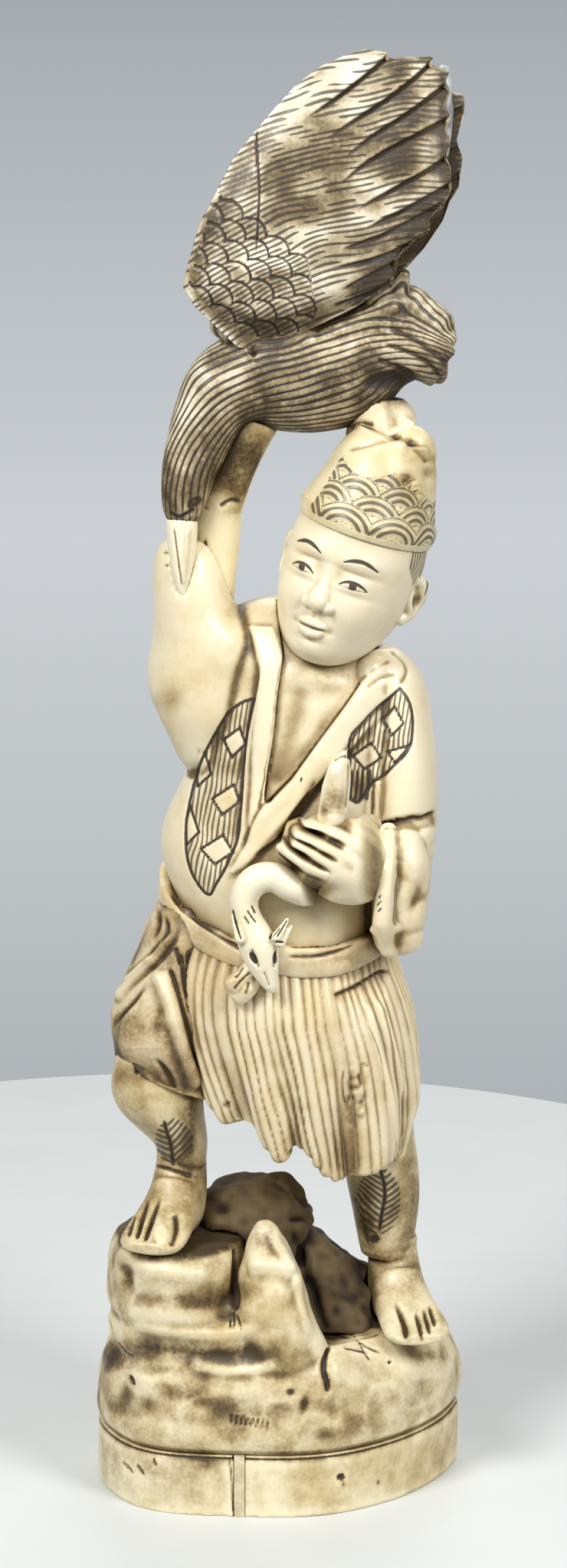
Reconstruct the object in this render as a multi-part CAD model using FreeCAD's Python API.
import FreeCAD, Part
import math
import os

# A standing okimono carving: a fisher in a jacket and pleated kilt holds one bird overhead and one at the chest.
# Row frame in millimetres: +X to the right seen from the front, +Y to the back, +Z up.
# The origin is the centre of the plinth's underside. Each section is a closed solid, cut to fit
# the sections placed before it, and hidden pegs join them.

Vector = FreeCAD.Vector

# Plinth and rocks
PLINTH_WIDTH = 64.0
PLINTH_DEPTH = 51.0
PLINTH_HEIGHT = 11.0
KEY_WIDTH = 1.8
KEY_DEPTH = 3.0
ROCK_HEIGHT = 17.0
BOULDER_WIDTH = 25.0
BOULDER_DEPTH = 32.0
BOULDER_HEIGHT = 20.0
SPUR_WIDTH = 17.0
SPUR_DEPTH = 13.0
SPUR_HEIGHT = 24.0
STUMP_WIDTH = 26.0
STUMP_DEPTH = 24.0
STUMP_HEIGHT = 28.0
SADDLE_WIDTH = 22.0
SADDLE_DEPTH = 26.0
SADDLE_HEIGHT = 17.0

# Legs, breeches, kilt and sash
FOOT_WIDTH = 12.0
FOOT_LENGTH = 21.0
ANKLE_HEIGHT = 15.0
CALF_WIDTH = 16.0
CALF_DEPTH = 17.0
LEFT_CALF_LENGTH = 33.0
HEM_COVER = 17.0
THIGH_WIDTH = 20.4
THIGH_DEPTH = 26.0
THIGH_HEIGHT = 31.0
KILT_WIDTH = 44.0
KILT_DEPTH = 38.0
KILT_HEIGHT = 49.0
SASH_BULGE = 1.4
SASH_BAND = 4.8
KNOT_LENGTH = 7.5
KNOT_WIDTH = 5.0

# Torso and arms
TORSO_WIDTH = 41.0
TORSO_DEPTH = 33.0
TORSO_HEIGHT = 51.5
CHEST_INSET = 1.3
LAPEL_THICKNESS = 0.9
RAISED_SLEEVE_WIDTH = 23.0
RAISED_SLEEVE_DEPTH = 19.0
RAISED_SLEEVE_HEIGHT = 40.5
FOREARM_THICKNESS = 8.8
GRIP_THICKNESS = 9.8
LEFT_SLEEVE_WIDTH = 13.2
LEFT_SLEEVE_DEPTH = 17.6
LEFT_SLEEVE_LENGTH = 30.5
CUFF_WIDTH = 10.6
CUFF_DEPTH = 21.0
CUFF_LENGTH = 21.0
PALM_LENGTH = 19.0
PALM_HEIGHT = 14.5
PALM_DEPTH = 10.0
HELD_NECK_LENGTH = 20.0
HELD_NECK_THICKNESS = 5.4
HELD_TAIL_LENGTH = 14.0
HELD_TAIL_THICKNESS = 4.8

# Head and cap
HEAD_WIDTH = 23.2
HEAD_DEPTH = 25.0
HEAD_HEIGHT = 31.0
NECK_THICKNESS = 13.0
CAP_WIDTH = 23.6
CAP_DEPTH = 26.0
CAP_HEIGHT = 17.0
CREST_LENGTH = 6.6
CREST_THICKNESS = 4.6
HEAD_ROLL = 18.0
HEAD_PITCH = 3.0
HEAD_YAW = 20.0

# Large bird
PERCH_THICKNESS = 11.0
RUMP_LENGTH = 13.5
RUMP_THICKNESS = 9.4
BIRD_LENGTH = 28.0
BIRD_HEIGHT = 20.0
BIRD_DEPTH = 17.0
BIRD_NECK_REACH = 26.0
BIRD_NECK_THICKNESS = 16.0
BEAK_LENGTH = 13.5
BEAK_THICKNESS = 5.8
TAIL_LENGTH = 10.6
TAIL_HEIGHT = 12.6
TAIL_DEPTH = 16.0
WING_SPAN = 45.0
WING_HEIGHT = 49.2
WING_THICKNESS = 5.6
WING_GAP = 14.5
GLUE_HEIGHT = 15.0
GLUE_THICKNESS = 2.4

# Pegs
BASE_PEG_RADIUS = 2.0
BODY_PEG_RADIUS = 2.2
LIMB_PEG_RADIUS = 1.0
BODY_PEG_REACH = 6.0
LIMB_PEG_REACH = 3.0

SECTION_POINTS = 12
LEFT_FOOT_TURN = 14.0
RIGHT_FOOT_TURN = -17.0

# Outline of the plinth seen from above, as shares of its half width and half depth.
PLINTH_OUTLINE_SHARES = (
    (1.00, 0.20), (0.83, -0.31), (0.57, -0.68), (0.28, -0.90), (0.02, -0.96), (-0.26, -0.94),
    (-0.52, -0.90), (-0.74, -0.78), (-0.91, -0.50), (-1.00, -0.12), (-0.96, 0.34), (-0.74, 0.77),
    (-0.30, 0.99), (0.26, 1.02), (0.69, 0.88), (0.94, 0.57),
)
# Height of each level of the rock base, how wide its outline is there, and its shifts along x and y.
ROCK_SHARES = (
    (0.00, 0.970, 0.000, 0.000), (0.08, 1.000, 0.000, 0.000), (0.42, 1.000, 0.000, 0.000),
    (0.62, 0.975, -0.002, -0.005), (0.80, 0.920, -0.010, -0.020), (0.93, 0.850, -0.018, -0.030),
    (1.00, 0.770, -0.022, -0.035),
)

# Level sections: height, centre x, centre y, half width, half depth, slope along x, slope along y.
BOULDER_SHARES = (
    (0.00, 0.02, 0.02, 0.44, 0.43, 0, 0), (0.14, 0.02, 0.02, 0.44, 0.44, 0, 0),
    (0.30, 0.00, 0.00, 0.49, 0.49, 0, 0), (0.55, -0.01, 0.00, 0.50, 0.50, 0, 0),
    (0.80, -0.01, 0.00, 0.49, 0.49, 0, 0), (0.94, 0.00, 0.00, 0.46, 0.46, 0, 0),
    (1.00, 0.00, 0.00, 0.40, 0.41, 0, 0),
)
SPUR_SHARES = (
    (0.00, 0.03, 0.00, 0.50, 0.50, 0, 0), (0.25, 0.02, -0.02, 0.46, 0.47, 0, 0),
    (0.50, -0.01, 0.00, 0.36, 0.42, 0, 0), (0.72, -0.04, 0.04, 0.27, 0.33, 0, 0),
    (0.90, -0.07, 0.12, 0.16, 0.22, 0, 0), (1.00, -0.09, 0.18, 0.05, 0.08, 0, 0),
)
STUMP_SHARES = (
    (0.00, 0.00, 0.06, 0.50, 0.50, 0, 0), (0.30, -0.02, 0.05, 0.42, 0.46, 0, 0),
    (0.48, -0.03, 0.02, 0.38, 0.44, 0, 0), (0.64, 0.01, 0.01, 0.42, 0.44, 0, 0),
    (0.78, 0.03, 0.00, 0.41, 0.42, 0, 0), (0.91, 0.03, 0.00, 0.29, 0.32, 0, 0),
    (1.00, 0.04, 0.00, 0.11, 0.13, 0, 0),
)
SADDLE_SHARES = (
    (0.00, 0.00, 0.00, 0.50, 0.50, 0, 0), (0.38, -0.06, 0.00, 0.42, 0.45, 0, 0),
    (0.62, -0.14, 0.00, 0.31, 0.36, 0, 0), (0.85, -0.24, 0.00, 0.18, 0.24, 0, 0),
    (1.00, -0.30, 0.00, 0.08, 0.12, 0, 0),
)
LEFT_CALF_SHARES = (
    (0.00, -0.03, 0.00, 0.29, 0.31, 0, 0), (0.10, -0.05, -0.02, 0.32, 0.34, 0, 0),
    (0.26, -0.06, -0.03, 0.37, 0.39, 0, 0), (0.45, -0.10, -0.03, 0.41, 0.42, 0, 0),
    (0.65, -0.15, -0.03, 0.41, 0.43, 0, 0), (1.00, -0.20, -0.02, 0.38, 0.41, 0, 0),
)
RIGHT_CALF_SHARES = (
    (0.00, -0.02, 0.00, 0.25, 0.27, 0, 0), (0.15, -0.03, -0.01, 0.28, 0.31, 0, 0),
    (0.36, -0.16, -0.04, 0.39, 0.38, 0, 0), (0.56, -0.27, -0.06, 0.48, 0.44, 0, 0),
    (0.80, -0.28, -0.06, 0.51, 0.46, 0, 0), (1.00, -0.27, -0.06, 0.47, 0.44, 0, 0),
)
THIGH_SHARES = (
    (0.00, 0.03, 0.00, 0.45, 0.40, -0.40, 0), (0.14, 0.04, 0.02, 0.48, 0.45, -0.30, 0),
    (0.33, 0.07, 0.04, 0.51, 0.50, -0.12, 0), (0.58, 0.13, 0.06, 0.46, 0.48, 0, 0),
    (0.80, 0.20, 0.08, 0.38, 0.44, 0, 0), (1.00, 0.28, 0.10, 0.30, 0.36, 0, 0),
)
KILT_SHARES = (
    (0.00, 0.16, -0.01, 0.36, 0.38, 0, 0), (0.13, 0.15, -0.01, 0.40, 0.43, 0, 0),
    (0.29, 0.105, -0.01, 0.455, 0.475, 0, 0), (0.45, 0.07, -0.01, 0.485, 0.495, 0, 0.05),
    (0.61, 0.03, -0.01, 0.50, 0.50, 0, 0.12), (0.78, -0.01, -0.01, 0.485, 0.49, -0.05, 0.25),
    (0.92, -0.01, 0.00, 0.46, 0.46, -0.10, 0.40), (1.00, 0.01, 0.00, 0.435, 0.43, -0.10, 0.45),
)
TORSO_SHARES = (
    (0.00, 0.01, 0.00, 0.455, 0.475, -0.10, 0.45), (0.09, 0.01, 0.00, 0.49, 0.495, -0.10, 0.35),
    (0.22, 0.01, -0.01, 0.50, 0.50, -0.05, 0.20), (0.36, 0.04, -0.01, 0.46, 0.485, -0.05, 0.10),
    (0.50, 0.08, -0.01, 0.43, 0.455, -0.05, 0), (0.65, 0.10, 0.00, 0.44, 0.435, -0.10, 0),
    (0.79, 0.11, 0.01, 0.43, 0.40, -0.20, 0), (0.90, 0.11, 0.02, 0.34, 0.33, -0.25, 0),
    (0.97, 0.12, 0.03, 0.22, 0.24, -0.25, 0), (1.00, 0.12, 0.03, 0.11, 0.14, -0.25, 0),
)
# Sleeve of the raised arm, from the armpit up past the elbow to its mouth.
RAISED_SLEEVE_SHARES = (
    (0.00, 0.02, 0.00, 0.12, 0.26, 0, 0), (0.12, 0.01, 0.00, 0.25, 0.38, 0, 0),
    (0.24, 0.02, 0.00, 0.36, 0.46, 0, 0), (0.35, 0.02, 0.00, 0.44, 0.50, 0, 0),
    (0.46, 0.03, 0.00, 0.46, 0.50, 0, 0), (0.58, 0.04, -0.01, 0.43, 0.48, 0, 0),
    (0.69, -0.05, -0.04, 0.33, 0.42, 0, 0), (0.80, -0.09, -0.06, 0.29, 0.39, 0, 0),
    (0.91, -0.11, -0.05, 0.26, 0.35, 0, 0), (0.98, -0.12, -0.04, 0.20, 0.28, 0, 0),
    (1.00, -0.12, -0.04, 0.13, 0.18, 0, 0),
)
LEFT_SLEEVE_SHARES = (
    (0.00, 0.06, -0.12, 0.44, 0.48, 0, 0), (0.16, 0.06, -0.11, 0.46, 0.50, 0, 0),
    (0.39, 0.04, -0.06, 0.47, 0.50, 0, 0), (0.62, -0.02, -0.02, 0.47, 0.48, 0, 0),
    (0.79, -0.08, 0.01, 0.44, 0.45, 0, 0), (0.93, -0.20, 0.04, 0.37, 0.38, 0, 0),
    (1.00, -0.32, 0.06, 0.26, 0.26, 0, 0),
)
CUFF_SHARES = (
    (0.00, -0.15, -0.32, 0.18, 0.16, 0, 0), (0.08, -0.12, -0.31, 0.36, 0.30, 0, 0),
    (0.28, -0.07, -0.27, 0.46, 0.42, 0, 0), (0.52, -0.04, -0.22, 0.49, 0.50, 0, 0),
    (0.76, 0.00, -0.13, 0.50, 0.50, 0, 0), (1.00, 0.02, 0.00, 0.54, 0.45, 0, 0),
)
WING_SHARES = (
    (0.000, 0.00, 0.00, 0.10, 0.40, 0, 0), (0.045, 0.03, 0.00, 0.24, 0.50, 0, 0),
    (0.134, 0.08, 0.00, 0.36, 0.60, 0, 0), (0.220, 0.13, 0.00, 0.44, 0.60, 0, 0),
    (0.420, 0.23, 0.00, 0.50, 0.58, 0, 0), (0.567, 0.30, 0.05, 0.50, 0.54, 0, 0),
    (0.730, 0.35, 0.12, 0.45, 0.50, 0, 0), (0.884, 0.40, 0.20, 0.38, 0.44, 0, 0),
    (1.000, 0.42, 0.28, 0.31, 0.36, 0, 0),
)

# Sections of a foot: along, across, up, half width, half thickness and lean of the section.
FOOT_SHARES = (
    (0.10, 0, 1.00, 0.36, 0.24, 0), (0.11, 0, 0.72, 0.37, 0.25, 8), (0.16, 0, 0.50, 0.40, 0.28, 32),
    (0.25, 0, 0.35, 0.42, 0.30, 56), (0.47, 0, 0.27, 0.45, 0.19, 78), (0.76, 0, 0.17, 0.49, 0.12, 88),
    (0.93, 0, 0.12, 0.44, 0.08, 90), (1.00, 0, 0.10, 0.30, 0.04, 90),
)
# Sections in the leaning frame of the head: height, forward, half width, half depth.
HEAD_SHARES = (
    (0.00, 0.17, 0.13, 0.13), (0.06, 0.14, 0.27, 0.25), (0.20, 0.06, 0.40, 0.39), (0.40, 0.01, 0.48, 0.48),
    (0.60, 0.00, 0.50, 0.50), (0.80, 0.00, 0.46, 0.47), (0.93, 0.00, 0.34, 0.35), (1.00, 0.00, 0.18, 0.19),
)
CAP_SHARES = (
    (0.00, 0.00, 0.49, 0.49), (0.09, 0.00, 0.50, 0.50), (0.30, 0.00, 0.46, 0.46), (0.58, 0.00, 0.40, 0.41),
    (0.85, 0.00, 0.33, 0.34), (1.00, 0.00, 0.27, 0.27),
)

# Sections square to a path in the front view: x, y, z, half thickness, half depth.
BIRD_SHARES = (
    (0.00, 0, 0.00, 0.45, 0.44), (0.214, 0, -0.01, 0.50, 0.50), (0.464, 0, -0.01, 0.48, 0.50),
    (0.679, 0, 0.070, 0.46, 0.46), (0.857, 0, 0.165, 0.36, 0.38),
)
BIRD_NECK_SHARES = (
    (0.04, 0.00, 0.03, 0.50, 0.50), (-0.162, -0.05, -0.104, 0.475, 0.45), (-0.296, -0.10, -0.265, 0.385, 0.37),
    (-0.373, -0.14, -0.465, 0.335, 0.31), (-0.427, -0.17, -0.63, 0.29, 0.27), (-0.46, -0.19, -0.80, 0.245, 0.24),
    (-0.473, -0.20, -0.904, 0.20, 0.20), (-0.48, -0.20, -0.958, 0.15, 0.15),
)
BEAK_SHARES = (
    (0.00, 0.00, 0.06, 0.42, 0.44), (0.00, -0.02, -0.15, 0.46, 0.46), (0.00, -0.05, -0.45, 0.40, 0.40),
    (0.00, -0.09, -0.80, 0.24, 0.24), (0.01, -0.11, -1.00, 0.07, 0.08),
)
TAIL_SHARES = (
    (0.00, 0, 0.00, 0.50, 0.44), (0.42, 0, -0.04, 0.43, 0.48), (0.75, 0, -0.175, 0.38, 0.50),
    (0.94, 0, -0.29, 0.33, 0.46),
)
RUMP_SHARES = (
    (0.00, 0, 0.00, 0.49, 0.62), (0.29, 0, -0.19, 0.50, 0.60), (0.525, 0, -0.363, 0.38, 0.50),
    (0.72, 0, -0.48, 0.24, 0.34), (0.82, 0, -0.55, 0.08, 0.14),
)
PALM_SHARES = (
    (1.00, 0.10, 0.00, 0.40, 0.46), (0.75, 0.02, -0.03, 0.50, 0.50), (0.48, 0.00, 0.02, 0.48, 0.46),
    (0.22, -0.02, 0.10, 0.36, 0.34), (0.07, -0.02, 0.14, 0.22, 0.20),
)
HELD_NECK_SHARES = (
    (0.45, -0.02, -0.22, 0.48, 0.52), (0.24, -0.06, -0.14, 0.46, 0.50), (0.02, -0.10, -0.02, 0.48, 0.50),
    (-0.15, -0.10, -0.04, 0.49, 0.50), (-0.25, -0.10, -0.20, 0.46, 0.50), (-0.22, -0.10, -0.38, 0.48, 0.52),
    (-0.14, -0.12, -0.58, 0.60, 0.56), (-0.08, -0.13, -0.78, 0.48, 0.46), (-0.03, -0.14, -0.92, 0.28, 0.32),
    (0.00, -0.14, -1.00, 0.11, 0.14),
)
HELD_TAIL_SHARES = (
    (0.00, -0.05, 0.00, 0.50, 0.50), (0.03, -0.03, 0.36, 0.50, 0.50), (0.09, 0.00, 0.74, 0.44, 0.42),
    (0.14, 0.02, 1.00, 0.26, 0.28),
)
KNOT_SHARES = (
    (0.30, 0.12, 0.36, 0.36, 0.24), (0.06, 0.00, 0.10, 0.46, 0.30), (-0.16, -0.06, -0.16, 0.50, 0.32),
    (-0.34, -0.06, -0.38, 0.42, 0.26),
)
CREST_SHARES = (
    (-0.40, 0.00, 0.02, 0.34, 0.44), (-0.10, 0.00, 0.12, 0.48, 0.62), (0.22, 0.00, 0.06, 0.50, 0.66),
    (0.42, 0.00, -0.20, 0.42, 0.54), (0.48, 0.00, -0.50, 0.24, 0.34),
)

GLUE_SHARES = (
    (0.00, 0.00, 0.00, 0.30, 0.44, 0, 0), (0.22, 0.04, 0.00, 0.47, 0.47, 0, 0), (0.60, 0.06, 0.00, 0.50, 0.47, 0, 0),
    (1.00, 0.02, 0.00, 0.30, 0.44, 0, 0),
)

# Sections between two points: share of the way, bow to the side, half thickness, half depth.
PERCH_SHARES = ((0.00, 0.00, 0.50, 0.50), (0.35, 0.00, 0.45, 0.46), (0.70, 0.00, 0.40, 0.46), (1.00, 0.00, 0.42, 0.50))
FOREARM_SHARES = ((0.00, 0.00, 0.47, 0.52), (0.40, 0.00, 0.49, 0.50), (0.75, 0.00, 0.48, 0.50), (1.00, 0.00, 0.48, 0.50))
GRIP_SHARES = ((0.00, 0.00, 0.42, 0.45), (0.30, -0.05, 0.45, 0.50), (0.70, -0.06, 0.49, 0.56), (1.00, 0.00, 0.50, 0.56))
NECK_SHARES = ((0.00, 0.00, 0.50, 0.50), (0.50, 0.00, 0.46, 0.46), (1.00, 0.00, 0.44, 0.44))

# Front outlines, as shares of a piece's width and height.
HEM_OUTLINE_SHARES = (
    (-0.80, 0.38), (-0.36, 0.39), (-0.29, 0.325), (-0.21, 0.245), (-0.11, 0.25), (-0.08, 0.195), (0.01, 0.12),
    (0.055, 0.17), (0.13, 0.135), (0.225, 0.045), (0.25, 0.035), (0.35, 0.065), (0.42, 0.095), (0.48, 0.08),
    (0.55, 0.30), (0.80, 0.30), (0.80, 1.50), (-0.80, 1.50),
)
CHEST_OUTLINE_SHARES = (
    (-0.02, 1.10), (0.02, 0.86), (-0.01, 0.70), (-0.06, 0.37), (0.05, 0.46), (0.29, 0.71), (0.45, 0.88), (0.50, 1.10),
)
RIGHT_LAPEL_SHARES = (
    (-0.12, 0.95), (-0.02, 0.95), (0.02, 0.86), (-0.01, 0.70), (-0.06, 0.37), (-0.13, 0.22), (-0.11, 0.52),
    (-0.08, 0.83),
)
LEFT_LAPEL_SHARES = (
    (0.50, 0.95), (0.60, 0.92), (0.50, 0.73), (0.29, 0.54), (0.10, 0.39), (-0.13, 0.18), (-0.21, 0.14),
    (-0.13, 0.25), (-0.06, 0.37), (0.05, 0.46), (0.29, 0.71), (0.45, 0.88),
)
NEAR_WING_SHARES = (
    (-0.06, 0.00), (-0.14, 0.07), (-0.22, 0.14), (-0.265, 0.205), (-0.245, 0.28), (-0.20, 0.42), (-0.115, 0.567),
    (-0.075, 0.64), (0.005, 0.73), (0.08, 0.81), (0.155, 0.884), (0.25, 0.947), (0.36, 0.99), (0.41, 1.00), (0.49, 0.99),
    (0.495, 0.97), (0.56, 0.975), (0.66, 0.975), (0.65, 0.95), (0.72, 0.923), (0.70, 0.895), (0.722, 0.86),
    (0.70, 0.815), (0.724, 0.775), (0.705, 0.73), (0.724, 0.687), (0.707, 0.65), (0.724, 0.61), (0.73, 0.533),
    (0.70, 0.473), (0.647, 0.43), (0.653, 0.39), (0.593, 0.354), (0.54, 0.31), (0.51, 0.207), (0.35, 0.125),
    (0.19, 0.057), (0.10, 0.004), (-0.02, 0.00),
)
FAR_WING_SHARES = (
    (0.00, 0.02), (-0.12, 0.07), (-0.22, 0.18), (-0.21, 0.31), (-0.14, 0.50), (-0.02, 0.68), (0.12, 0.82),
    (0.28, 0.90), (0.42, 0.93), (0.52, 0.925), (0.53, 0.905), (0.62, 0.905), (0.64, 0.885), (0.72, 0.88),
    (0.735, 0.855), (0.79, 0.845), (0.79, 0.79), (0.775, 0.735), (0.76, 0.69), (0.785, 0.635), (0.775, 0.575),
    (0.77, 0.53), (0.735, 0.48), (0.71, 0.415), (0.64, 0.32), (0.57, 0.25), (0.54, 0.19), (0.32, 0.10), (0.16, 0.03),
)

# Where pieces stand, as shares of the size of the piece that carries them.
BOULDER_PLACE_SHARES = (-0.265, -0.11)
SPUR_PLACE_SHARES = (-0.015, -0.33)
STUMP_PLACE_SHARES = (-0.09, 0.03)
SADDLE_PLACE_SHARES = (0.17, 0.08)
SINK_SHARE = 0.08
KEY_PLACE_SHARE = -0.12
LEFT_HEEL_SHARES = (0.31, 0.10)
RIGHT_HEEL_SHARES = (0.02, 0.12)
FOOT_SINK_SHARE = 0.03
ANKLE_SHARE = 0.80
KNEE_SHARES = (-0.455, -0.08)
RAISED_SLEEVE_PLACE_SHARES = (-0.31, -0.06, 0.44)
LEFT_SLEEVE_PLACE_SHARES = (0.50, -0.06, 0.27)
PALM_PLACE_SHARES = (-0.02, -0.62, 0.21)
HELD_NECK_PLACE_SHARES = (-0.02, -0.545, 0.155)
HELD_TAIL_PLACE_SHARES = (0.215, -0.56, 0.27)
KNOT_PLACE_SHARES = (-0.12, -0.50, 0.79)
HEAD_PLACE_SHARES = (0.18, -0.14, 0.835)
NECK_PLACE_SHARES = (0.17, -0.04, 0.80)
NECK_TOP_SHARE = 0.35
BRIM_SHARE = 0.75
CREST_PLACE_SHARES = (0.09, 0.00, -0.09)
PERCH_FOOT_SHARES = (-0.15, 0.04, -0.30)
PERCH_TOP_SHARES = (0.15, 0.00, -0.08)
BIRD_PLACE_SHARES = (-0.85, 0.22, 0.525)
RUMP_PLACE_SHARES = (0.568, 0.00, -0.105)
TAIL_PLACE_SHARES = (0.785, 0.00, 0.20)
BEAK_PLACE_SHARES = (-0.474, -0.205, -0.92)
WING_PLACE_SHARES = (0.00, -0.37, 0.225)
GLUE_PLACE_SHARES = (0.705, 0.64)
ELBOW_SHARES = (0.03, 0.00, 0.70)
WRIST_SHARE = 0.53
WRIST_BOW_SHARE = -0.28
GRIP_PLACE_SHARES = (-0.02, 0.06, -0.40)
BASE_PEG_SHARES = (-0.22, 0.22)
FOOT_PEG_SHARE = 0.30
SHOULDER_PEG_SHARES = ((-0.04, 0.06, 0.33), (-0.30, 0.20, 0.50))
WING_PEG_SHARES = (-0.05, 0.11)
WING_PEG_HEIGHT_SHARE = 0.09
WING_PEG_DEPTH_SHARE = 0.45


# The neighbours, placed before it, that each section is cut to fit.
GIVES_WAY = {
    "plinth": ("base_pegs", "plinth_key"),
    "right_foot": ("foot_pegs",),
    "left_foot": ("foot_pegs",),
    "rock_base": ("base_pegs", "foot_pegs", "left_foot"),
    "boulder": ("foot_pegs", "right_foot", "rock_base"),
    "stump_rock": ("right_foot", "rock_base", "boulder"),
    "rock_spur": ("rock_base", "boulder", "stump_rock"),
    "saddle_rock": ("left_foot", "rock_base", "stump_rock", "rock_spur"),
    "right_calf": ("right_foot",),
    "left_calf": ("left_foot",),
    "head": ("neck_peg",),
    "cap": ("perch_peg", "head"),
    "cap_crest": ("cap",),
    "neck": ("neck_peg", "head"),
    "chest": ("neck_peg", "head", "neck"),
    "torso": ("waist_peg", "neck_peg", "shoulder_pegs", "open_front", "head", "neck"),
    "right_lapel": ("head", "torso"),
    "left_lapel": ("head", "torso", "right_lapel"),
    "kilt": ("waist_peg", "left_calf", "right_calf", "torso"),
    "right_breeches": ("right_calf", "torso", "kilt"),
    "sash": ("torso", "kilt", "right_breeches"),
    "held_bird": ("torso", "kilt", "sash"),
    "held_bird_tail": ("torso", "left_lapel", "held_bird"),
    "left_hand": ("torso", "held_bird", "held_bird_tail"),
    "left_cuff": ("torso", "kilt", "sash", "left_hand"),
    "left_sleeve": ("shoulder_pegs", "torso", "left_lapel", "left_cuff"),
    "sash_knot": ("kilt", "sash", "held_bird"),
    "near_wing": ("wing_pegs",),
    "far_wing": ("wing_pegs",),
    "wing_glue": ("near_wing", "far_wing"),
    "bird_body": ("wing_pegs", "near_wing", "far_wing"),
    "bird_neck": ("near_wing", "far_wing", "bird_body"),
    "bird_beak": ("bird_neck",),
    "bird_tail": ("near_wing", "far_wing", "bird_body"),
    "bird_rump": ("cap", "cap_crest", "bird_body", "bird_tail"),
    "bird_perch": ("perch_peg", "cap", "cap_crest", "bird_body", "bird_rump"),
    "raised_hand": ("bird_body", "bird_neck", "bird_beak"),
    "raised_forearm": ("torso", "bird_beak", "raised_hand"),
    "raised_sleeve": ("shoulder_pegs", "torso", "right_lapel", "bird_beak", "raised_forearm"),
}


def ring(centre, across, along):
    """A closed smooth section about centre, spanned by two half axes."""
    points = []
    for index in range(SECTION_POINTS):
        angle = 2 * math.pi * index / SECTION_POINTS
        points.append(centre + across * math.cos(angle) + along * math.sin(angle))
    return closed_curve(points)


def closed_curve(points):
    curve = Part.BSplineCurve()
    curve.interpolate(points, PeriodicFlag=True)
    return Part.Wire([curve.toShape()])


def loft(wires):
    return Part.makeLoft(wires, True, False)


def place(anchor, size, shares):
    """The point that lies at the given shares of a piece's size from its anchor."""
    return anchor + Vector(size.x * shares[0], size.y * shares[1], size.z * shares[2])


def level_loft(anchor, size, rows):
    """A solid through level sections, whose slopes lift one side of a section."""
    wires = []
    for height, x, y, half_width, half_depth, slope_x, slope_y in rows:
        reach_x = size.x * half_width
        reach_y = size.y * half_depth
        across = Vector(reach_x, 0, slope_x * reach_x)
        along = Vector(0, reach_y, slope_y * reach_y)
        wires.append(ring(place(anchor, size, (x, y, height)), across, along))
    return loft(wires)


def path_loft(anchor, reach, thickness, depth, rows):
    """A solid whose sections stand square to a path that curves in the front view."""
    points = [anchor + Vector(*row[:3]) * reach for row in rows]
    wires = []
    for index, point in enumerate(points):
        heading = points[min(index + 1, len(points) - 1)] - points[max(index - 1, 0)]
        side = Vector(heading.z, 0, -heading.x).normalize()
        half_thickness, half_depth = rows[index][3:]
        wires.append(ring(point, side * (thickness * half_thickness), Vector(0, depth * half_depth, 0)))
    return loft(wires)


def span_loft(start, end, thickness, rows):
    """A solid between two points of neighbouring pieces."""
    way = end - start
    side = Vector(way.z, 0, -way.x).normalize()
    wires = []
    for share, bow, half_thickness, half_depth in rows:
        point = start + way * share + side * (thickness * bow)
        wires.append(ring(point, side * (thickness * half_thickness), Vector(0, thickness * half_depth, 0)))
    return loft(wires)


def plinth_loft(levels):
    """A solid through scaled outlines of the plinth: height, scale and two shifts of each."""
    wires = []
    for height, scale, shift_x, shift_y in levels:
        points = [Vector((x * scale / 2 + shift_x) * PLINTH_WIDTH, (y * scale / 2 + shift_y) * PLINTH_DEPTH, height)
                  for x, y in PLINTH_OUTLINE_SHARES]
        wires.append(closed_curve(points))
    return loft(wires)


def front_prism(anchor, size, shares, front, back):
    """A prism along Y whose outline is drawn on the front of a piece."""
    points = [place(anchor, size, (x, 0, z)) + Vector(0, front, 0) for x, z in shares]
    face = Part.Face(Part.makePolygon(points + points[:1]))
    return face.extrude(Vector(0, back - front, 0))


def peg(middle, direction, radius, reach):
    """A round peg that reaches equally far to both sides of a joint."""
    heading = Vector(direction).normalize()
    return Part.makeCylinder(radius, reach * 2, middle - heading * reach, heading)


def head_frame():
    """Right, forward and up of the leaning head."""
    yaw = FreeCAD.Rotation(Vector(0, 0, 1), -HEAD_YAW)
    pitch = FreeCAD.Rotation(Vector(1, 0, 0), HEAD_PITCH)
    roll = FreeCAD.Rotation(Vector(0, 1, 0), HEAD_ROLL)
    lean = roll.multiply(pitch).multiply(yaw)
    return [lean.multVec(Vector(*axis)) for axis in ((1, 0, 0), (0, -1, 0), (0, 0, 1))]


def head_loft(base, size, rows):
    """A solid through sections square to the leaning head's axis."""
    right, forward, up = head_frame()
    wires = []
    for level, advance, half_width, half_depth in rows:
        centre = base + up * (size.z * level) + forward * (size.y * advance)
        wires.append(ring(centre, right * (size.x * half_width), forward * (-size.y * half_depth)))
    return loft(wires)


# Sizes as vectors, and the anchors from which pieces are placed, from the ground up.
PLINTH_SIZE = Vector(PLINTH_WIDTH, PLINTH_DEPTH, PLINTH_HEIGHT)
BOULDER_SIZE = Vector(BOULDER_WIDTH, BOULDER_DEPTH, BOULDER_HEIGHT)
KILT_SIZE = Vector(KILT_WIDTH, KILT_DEPTH, KILT_HEIGHT)
TORSO_SIZE = Vector(TORSO_WIDTH, TORSO_DEPTH, TORSO_HEIGHT)
RAISED_SLEEVE_SIZE = Vector(RAISED_SLEEVE_WIDTH, RAISED_SLEEVE_DEPTH, RAISED_SLEEVE_HEIGHT)
LEFT_SLEEVE_SIZE = Vector(LEFT_SLEEVE_WIDTH, LEFT_SLEEVE_DEPTH, LEFT_SLEEVE_LENGTH)
CAP_SIZE = Vector(CAP_WIDTH, CAP_DEPTH, CAP_HEIGHT)
BIRD_SIZE = Vector(BIRD_LENGTH, BIRD_DEPTH, BIRD_HEIGHT)
WING_SIZE = Vector(WING_SPAN, WING_THICKNESS, WING_HEIGHT)

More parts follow.
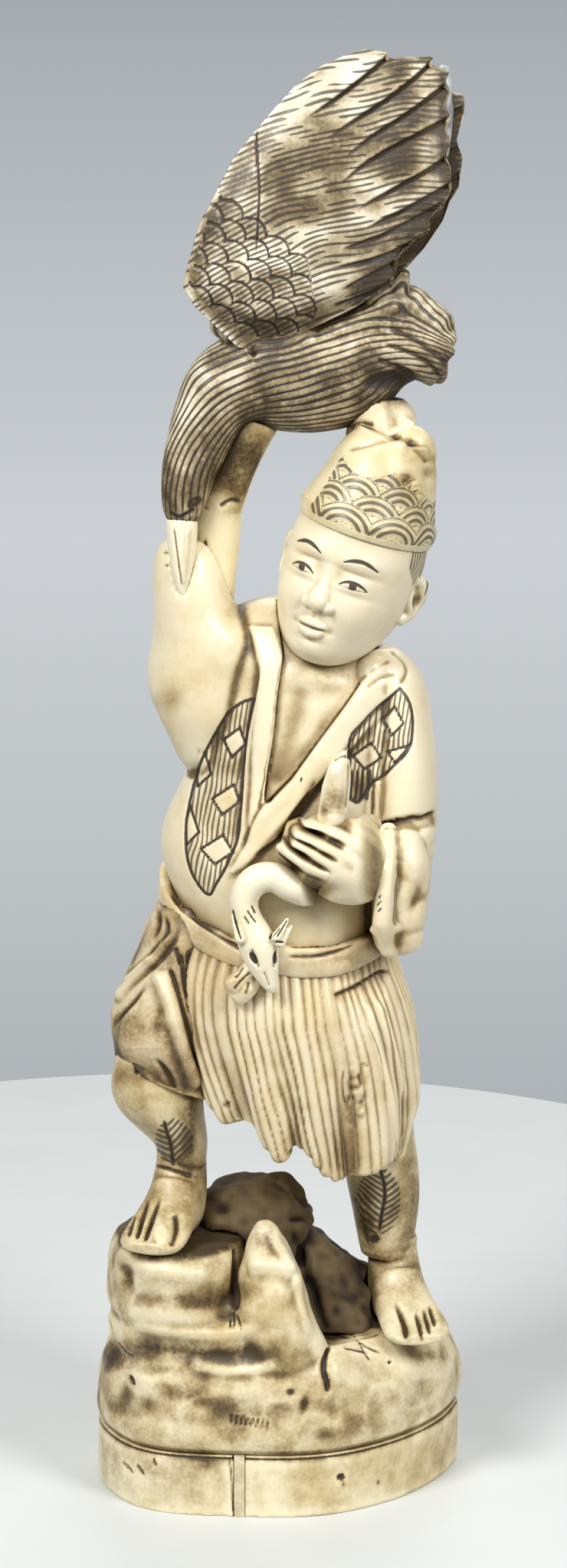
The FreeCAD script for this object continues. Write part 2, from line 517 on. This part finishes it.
ROCK_TOP = PLINTH_HEIGHT + ROCK_HEIGHT
BOULDER_ANCHOR = place(Vector(0, 0, ROCK_TOP - BOULDER_HEIGHT * SINK_SHARE), PLINTH_SIZE, (*BOULDER_PLACE_SHARES, 0))
BOULDER_TOP = BOULDER_ANCHOR.z + BOULDER_HEIGHT
LEFT_HEEL = place(Vector(0, 0, ROCK_TOP - ANKLE_HEIGHT * FOOT_SINK_SHARE), PLINTH_SIZE, (*LEFT_HEEL_SHARES, 0))
RIGHT_HEEL = place(BOULDER_ANCHOR + Vector(0, 0, BOULDER_HEIGHT - ANKLE_HEIGHT * FOOT_SINK_SHARE),
                   BOULDER_SIZE, (*RIGHT_HEEL_SHARES, 0))
ANKLE = Vector(0, -FOOT_LENGTH * FOOT_SHARES[0][0], ANKLE_HEIGHT * ANKLE_SHARE)
KILT_BASE = Vector(0, 0, LEFT_HEEL.z + ANKLE.z + LEFT_CALF_LENGTH - HEM_COVER)
WAIST = KILT_BASE + Vector(0, 0, KILT_HEIGHT)
KNEE = place(WAIST - Vector(0, 0, THIGH_HEIGHT), KILT_SIZE, (*KNEE_SHARES, 0))
NECK_FOOT = place(WAIST, TORSO_SIZE, NECK_PLACE_SHARES)
HEAD_BASE = place(WAIST, TORSO_SIZE, HEAD_PLACE_SHARES)
BRIM = HEAD_BASE + head_frame()[2] * (HEAD_HEIGHT * BRIM_SHARE)
CAP_TOP = BRIM + head_frame()[2] * CAP_HEIGHT
BIRD_ROOT = place(CAP_TOP, BIRD_SIZE, BIRD_PLACE_SHARES)
RUMP_ROOT = place(BIRD_ROOT, BIRD_SIZE, RUMP_PLACE_SHARES)
WING_ROOT = place(BIRD_ROOT, BIRD_SIZE, WING_PLACE_SHARES)
RAISED_ARMPIT = place(WAIST, TORSO_SIZE, RAISED_SLEEVE_PLACE_SHARES)
LEFT_ARMPIT = place(WAIST, TORSO_SIZE, LEFT_SLEEVE_PLACE_SHARES)
ELBOW = place(RAISED_ARMPIT, RAISED_SLEEVE_SIZE, ELBOW_SHARES)
GRIP = place(BIRD_ROOT, BIRD_SIZE, GRIP_PLACE_SHARES)
PERCH_SEAT = place(CAP_TOP, CAP_SIZE, PERCH_FOOT_SHARES)
PERCH_TOP = place(RUMP_ROOT, BIRD_SIZE, PERCH_TOP_SHARES)
WRIST = ELBOW + (GRIP - ELBOW) * WRIST_SHARE + Vector(FOREARM_THICKNESS * WRIST_BOW_SHARE, 0, 0)


def plinth():
    return plinth_loft(((0, 1, 0, 0), (PLINTH_HEIGHT, 1, 0, 0)))


def plinth_key():
    """The narrow strip let into the plinth's front."""
    corner = Vector(PLINTH_WIDTH * KEY_PLACE_SHARE, -PLINTH_DEPTH / 2, 0)
    return Part.makeBox(KEY_WIDTH, KEY_DEPTH, PLINTH_HEIGHT, corner).common(plinth())


def rock_base():
    return plinth_loft([(PLINTH_HEIGHT + ROCK_HEIGHT * height, *outline) for height, *outline in ROCK_SHARES])


def rock(size, place_shares, rows):
    """A rock that stands on the rock base, sunk a little into it."""
    return level_loft(place(Vector(0, 0, ROCK_TOP - size.z * SINK_SHARE), PLINTH_SIZE, (*place_shares, 0)), size, rows)


def foot(heel, turn):
    """A foot that points to the front, turned about its heel."""
    turned = FreeCAD.Rotation(Vector(0, 0, 1), turn)
    wires = []
    for along, across, up, half_width, half_thickness, lean in FOOT_SHARES:
        angle = math.radians(lean)
        centre = Vector(FOOT_WIDTH * across, -FOOT_LENGTH * along, ANKLE_HEIGHT * up)
        thick = Vector(0, math.cos(angle), -math.sin(angle)) * (FOOT_LENGTH * half_thickness)
        wide = Vector(FOOT_WIDTH * half_width, 0, 0)
        wires.append(ring(heel + turned.multVec(centre), turned.multVec(wide), turned.multVec(thick)))
    return loft(wires)


def right_calf():
    """The calf between the foot on the boulder and the hem of the breeches."""
    ankle = RIGHT_HEEL + ANKLE
    length = KNEE.z + THIGH_HEIGHT * THIGH_SHARES[1][0] - ankle.z
    return level_loft(ankle, Vector(CALF_WIDTH, CALF_DEPTH, length), RIGHT_CALF_SHARES)


def kilt():
    """The pleated kilt, whose hem follows its outline."""
    hem = front_prism(KILT_BASE, KILT_SIZE, HEM_OUTLINE_SHARES, -KILT_DEPTH, KILT_DEPTH)
    return level_loft(KILT_BASE, KILT_SIZE, KILT_SHARES).common(hem)


def sash():
    """The waistband, which bulges round the join of torso and kilt."""
    slope_x, slope_y = TORSO_SHARES[0][5:]
    wires = []
    for level, bulge in ((-1, 0.7), (0, 1), (1, 0.7)):
        centre = WAIST + Vector(TORSO_WIDTH * TORSO_SHARES[0][1], 0, SASH_BAND * level / 2)
        reach_x = TORSO_WIDTH * TORSO_SHARES[1][3] + SASH_BULGE * bulge
        reach_y = TORSO_DEPTH * TORSO_SHARES[1][4] + SASH_BULGE * bulge
        wires.append(ring(centre, Vector(reach_x, 0, slope_x * reach_x), Vector(0, reach_y, slope_y * reach_y)))
    return loft(wires)


def torso_block(margin):
    """The torso, grown or shrunk by a margin all round."""
    size = TORSO_SIZE + Vector(margin * 2, margin * 2, margin)
    return level_loft(WAIST, size, TORSO_SHARES)


def torso_front(shares):
    return front_prism(WAIST, TORSO_SIZE, shares, -TORSO_DEPTH, 0)


def left_cuff():
    top = place(LEFT_ARMPIT, Vector(LEFT_SLEEVE_WIDTH, LEFT_SLEEVE_DEPTH, 0), LEFT_SLEEVE_SHARES[0][1:3] + (0,))
    return level_loft(top - Vector(0, 0, CUFF_LENGTH), Vector(CUFF_WIDTH, CUFF_DEPTH, CUFF_LENGTH), CUFF_SHARES)


def wing(root, outline):
    """A wing cut from a lens-shaped blank along the outline of its feathers."""
    blank = level_loft(root, WING_SIZE, WING_SHARES)
    return blank.common(front_prism(root, WING_SIZE, outline, -WING_THICKNESS * 2, WING_THICKNESS * 2))


def wing_glue():
    """The clear bead that bridges the two wings near their tips."""
    start = WING_ROOT + Vector(WING_SPAN * GLUE_PLACE_SHARES[0], WING_GAP / 2, WING_HEIGHT * GLUE_PLACE_SHARES[1])
    size = Vector(GLUE_THICKNESS, WING_GAP, GLUE_HEIGHT)
    return level_loft(start, size, GLUE_SHARES)


def pegs():
    """Hidden pegs, each through the joint of two sections."""
    upward = Vector(0, 0, 1)
    sideways = Vector(1, 0, 0)
    inward = Vector(0, WING_THICKNESS * WING_PEG_DEPTH_SHARE, WING_HEIGHT * WING_PEG_HEIGHT_SHARE)
    bases = [Vector(PLINTH_WIDTH * share, 0, PLINTH_HEIGHT) for share in BASE_PEG_SHARES]
    soles = [heel - Vector(0, FOOT_LENGTH * FOOT_PEG_SHARE, 0) for heel in (LEFT_HEEL, RIGHT_HEEL)]
    shoulders = [place(RAISED_ARMPIT, RAISED_SLEEVE_SIZE, SHOULDER_PEG_SHARES[0]),
                 place(LEFT_ARMPIT, LEFT_SLEEVE_SIZE, SHOULDER_PEG_SHARES[1])]
    near_roots = [WING_ROOT + inward + Vector(WING_SPAN * share, 0, 0) for share in WING_PEG_SHARES]
    far_roots = [root + Vector(0, WING_GAP - WING_THICKNESS * WING_PEG_DEPTH_SHARE * 2, 0) for root in near_roots]
    return {
        "base_pegs": [peg(base, upward, BASE_PEG_RADIUS, BODY_PEG_REACH) for base in bases],
        "foot_pegs": [peg(sole, upward, LIMB_PEG_RADIUS, LIMB_PEG_REACH) for sole in soles],
        "waist_peg": [peg(WAIST, upward, BODY_PEG_RADIUS, BODY_PEG_REACH)],
        "neck_peg": [peg(NECK_FOOT, upward, LIMB_PEG_RADIUS, LIMB_PEG_REACH)],
        "shoulder_pegs": [peg(shoulder, sideways, LIMB_PEG_RADIUS, LIMB_PEG_REACH) for shoulder in shoulders],
        "perch_peg": [peg(PERCH_SEAT, upward, LIMB_PEG_RADIUS, LIMB_PEG_REACH)],
        "wing_pegs": [peg(root, Vector(0, 1, 0), LIMB_PEG_RADIUS, LIMB_PEG_REACH) for root in near_roots + far_roots],
    }


def rocks_and_legs():
    return {
        "plinth_key": plinth_key(),
        "plinth": plinth(),
        "right_foot": foot(RIGHT_HEEL, RIGHT_FOOT_TURN),
        "left_foot": foot(LEFT_HEEL, LEFT_FOOT_TURN),
        "rock_base": rock_base(),
        "boulder": level_loft(BOULDER_ANCHOR, BOULDER_SIZE, BOULDER_SHARES),
        "stump_rock": rock(Vector(STUMP_WIDTH, STUMP_DEPTH, STUMP_HEIGHT), STUMP_PLACE_SHARES, STUMP_SHARES),
        "rock_spur": rock(Vector(SPUR_WIDTH, SPUR_DEPTH, SPUR_HEIGHT), SPUR_PLACE_SHARES, SPUR_SHARES),
        "saddle_rock": rock(Vector(SADDLE_WIDTH, SADDLE_DEPTH, SADDLE_HEIGHT), SADDLE_PLACE_SHARES, SADDLE_SHARES),
        "right_calf": right_calf(),
        "left_calf": level_loft(LEFT_HEEL + ANKLE, Vector(CALF_WIDTH, CALF_DEPTH, LEFT_CALF_LENGTH), LEFT_CALF_SHARES),
    }


def head_and_torso():
    neck_top = HEAD_BASE + head_frame()[2] * (HEAD_HEIGHT * NECK_TOP_SHARE)
    skin = torso_block(LAPEL_THICKNESS)
    return {
        "head": head_loft(HEAD_BASE, Vector(HEAD_WIDTH, HEAD_DEPTH, HEAD_HEIGHT), HEAD_SHARES),
        "cap": head_loft(BRIM, CAP_SIZE, CAP_SHARES),
        "cap_crest": path_loft(place(CAP_TOP, CAP_SIZE, CREST_PLACE_SHARES), CREST_LENGTH, CREST_THICKNESS,
                               CREST_THICKNESS, CREST_SHARES),
        "neck": span_loft(NECK_FOOT, neck_top, NECK_THICKNESS, NECK_SHARES),
        "chest": torso_block(-CHEST_INSET).common(torso_front(CHEST_OUTLINE_SHARES)),
        "torso": torso_block(0),
        "right_lapel": skin.common(torso_front(RIGHT_LAPEL_SHARES)),
        "left_lapel": skin.common(torso_front(LEFT_LAPEL_SHARES)),
    }


def clothes_and_left_arm():
    held = HELD_NECK_THICKNESS
    return {
        "kilt": kilt(),
        "right_breeches": level_loft(KNEE, Vector(THIGH_WIDTH, THIGH_DEPTH, THIGH_HEIGHT), THIGH_SHARES),
        "sash": sash(),
        "held_bird": path_loft(place(WAIST, TORSO_SIZE, HELD_NECK_PLACE_SHARES), HELD_NECK_LENGTH, held, held,
                               HELD_NECK_SHARES),
        "held_bird_tail": path_loft(place(WAIST, TORSO_SIZE, HELD_TAIL_PLACE_SHARES), HELD_TAIL_LENGTH,
                                    HELD_TAIL_THICKNESS, HELD_TAIL_THICKNESS, HELD_TAIL_SHARES),
        "left_hand": path_loft(place(WAIST, TORSO_SIZE, PALM_PLACE_SHARES), PALM_LENGTH, PALM_HEIGHT, PALM_DEPTH,
                               PALM_SHARES),
        "left_cuff": left_cuff(),
        "left_sleeve": level_loft(LEFT_ARMPIT, LEFT_SLEEVE_SIZE, LEFT_SLEEVE_SHARES),
        "sash_knot": path_loft(place(KILT_BASE, KILT_SIZE, KNOT_PLACE_SHARES), KNOT_LENGTH, KNOT_WIDTH, KNOT_WIDTH,
                               KNOT_SHARES),
    }


def large_bird_and_raised_arm():
    neck_reach = BIRD_NECK_REACH
    beak_root = BIRD_ROOT + Vector(*BEAK_PLACE_SHARES) * neck_reach
    return {
        "near_wing": wing(WING_ROOT, NEAR_WING_SHARES),
        "far_wing": wing(WING_ROOT + Vector(0, WING_GAP, 0), FAR_WING_SHARES),
        "wing_glue": wing_glue(),
        "bird_body": path_loft(BIRD_ROOT, BIRD_LENGTH, BIRD_HEIGHT, BIRD_DEPTH, BIRD_SHARES),
        "bird_neck": path_loft(BIRD_ROOT, neck_reach, BIRD_NECK_THICKNESS, BIRD_NECK_THICKNESS, BIRD_NECK_SHARES),
        "bird_beak": path_loft(beak_root, BEAK_LENGTH, BEAK_THICKNESS, BEAK_THICKNESS, BEAK_SHARES),
        "bird_tail": path_loft(place(BIRD_ROOT, BIRD_SIZE, TAIL_PLACE_SHARES), TAIL_LENGTH, TAIL_HEIGHT, TAIL_DEPTH,
                               TAIL_SHARES),
        "bird_rump": path_loft(RUMP_ROOT, RUMP_LENGTH, RUMP_THICKNESS, RUMP_THICKNESS, RUMP_SHARES),
        "bird_perch": span_loft(PERCH_SEAT, PERCH_TOP, PERCH_THICKNESS, PERCH_SHARES),
        "raised_hand": span_loft(WRIST, GRIP, GRIP_THICKNESS, GRIP_SHARES),
        "raised_forearm": span_loft(ELBOW, WRIST, FOREARM_THICKNESS, FOREARM_SHARES),
        "raised_sleeve": level_loft(RAISED_ARMPIT, RAISED_SLEEVE_SIZE, RAISED_SLEEVE_SHARES),
    }


def fitted(section, neighbours):
    """What is left of a section once its neighbours take their room."""
    if neighbours:
        section = section.cut(neighbours)
    return max(section.Solids, key=lambda solid: solid.Volume)


def main():
    os.makedirs("parts", exist_ok=True)
    rooms = {name: Part.makeCompound(solids) for name, solids in pegs().items()}
    fits = dict(rooms)
    rooms["open_front"] = torso_front(CHEST_OUTLINE_SHARES)
    sections = {**rocks_and_legs(), **head_and_torso(), **clothes_and_left_arm(), **large_bird_and_raised_arm()}
    for name, section in sections.items():
        fits[name] = fitted(section, [rooms[neighbour] for neighbour in GIVES_WAY.get(name, ())])
        rooms[name] = section
    for name, shape in fits.items():
        shape.exportStep(f"parts/{name}.step")


main()
